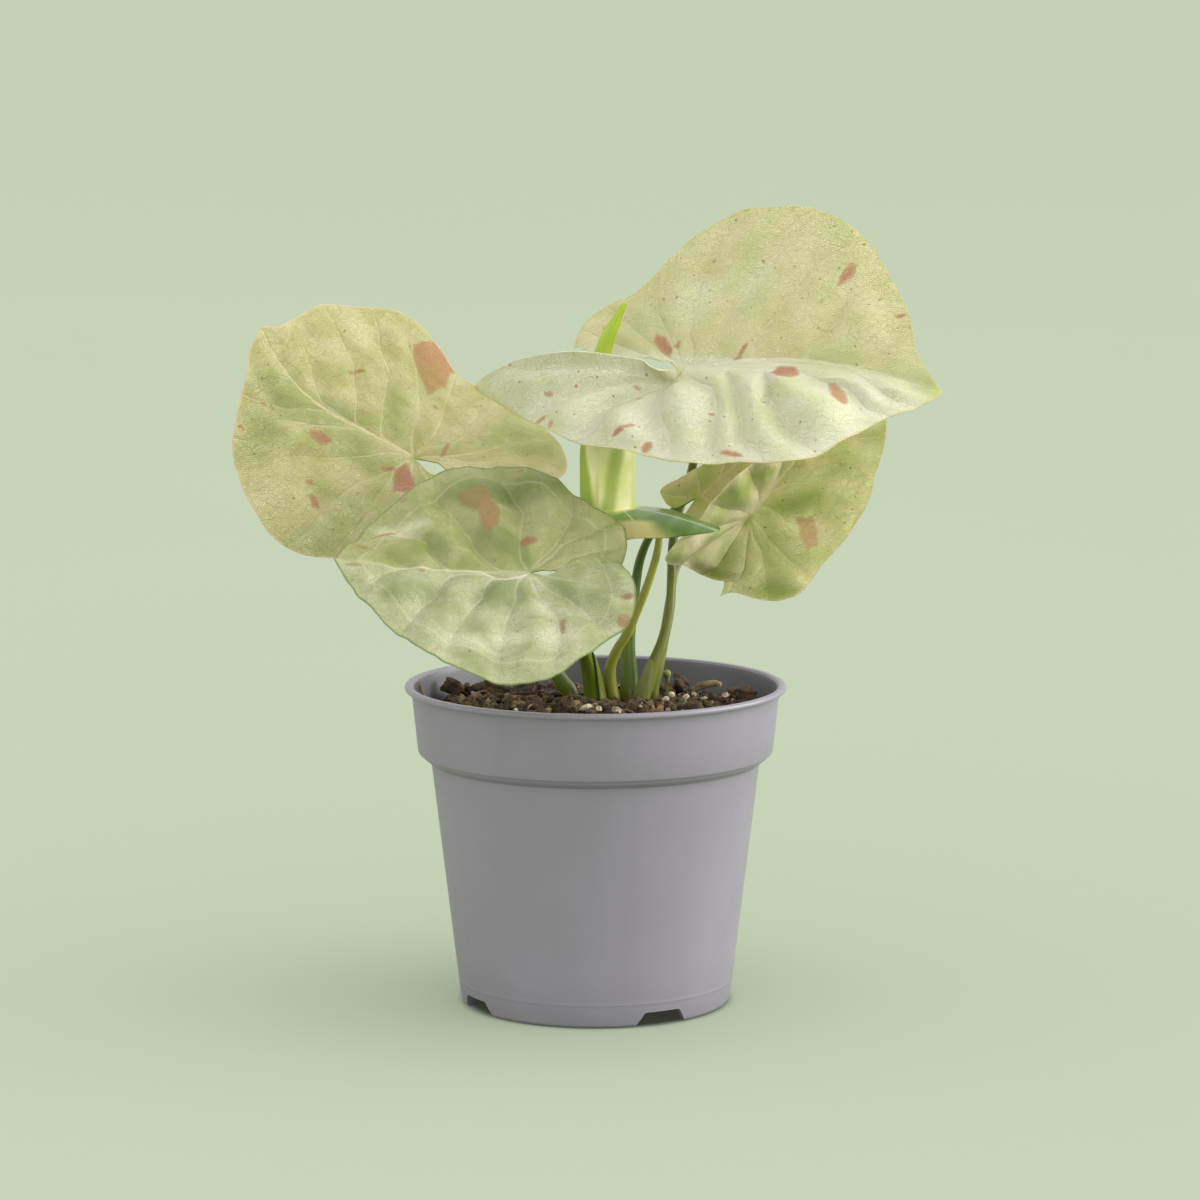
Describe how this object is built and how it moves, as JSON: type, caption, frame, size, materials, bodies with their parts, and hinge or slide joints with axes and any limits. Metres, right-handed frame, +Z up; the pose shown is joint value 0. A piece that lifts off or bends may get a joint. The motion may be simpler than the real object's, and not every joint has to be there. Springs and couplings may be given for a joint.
{
  "type": "potted arrowhead plant",
  "caption": "Young arrowhead plant with broad cream-green arrow-shaped leaves on slim stems, growing in a round grey stepped nursery pot filled with soil.",
  "frame": {"origin": "centre of the whole plant's bounding box, on the surface that the pot stands on; the pot's own axis stands at x = 3.0 mm, y = 14.8 mm", "axes": "+Z up; -Y towards the viewer of the picture; +X to the right in the picture, the way the large upper leaf points"},
  "size_m": [0.2198, 0.1492, 0.2498],
  "materials": {
    "pot": "matte",
    "soil": "matte",
    "leaf_large": "satin",
    "leaf_left": "satin",
    "leaf_front": "satin",
    "leaf_right": "satin",
    "leaf_small": "satin",
    "leaf_young": "satin",
    "stem": "satin"
  },
  "bodies": {
    "root": {"pot": "pot", "soil": "soil", "leaf_large_blade": "leaf_large", "leaf_left_blade": "leaf_left", "leaf_front_blade": "leaf_front", "leaf_right_blade": "leaf_right", "leaf_small_blade": "leaf_small", "leaf_young_blade": "leaf_young", "stem_large": "stem", "stem_left": "stem", "stem_front": "stem", "stem_right": "stem", "stem_small": "stem", "stem_young": "stem"}
  },
  "joints": []
}
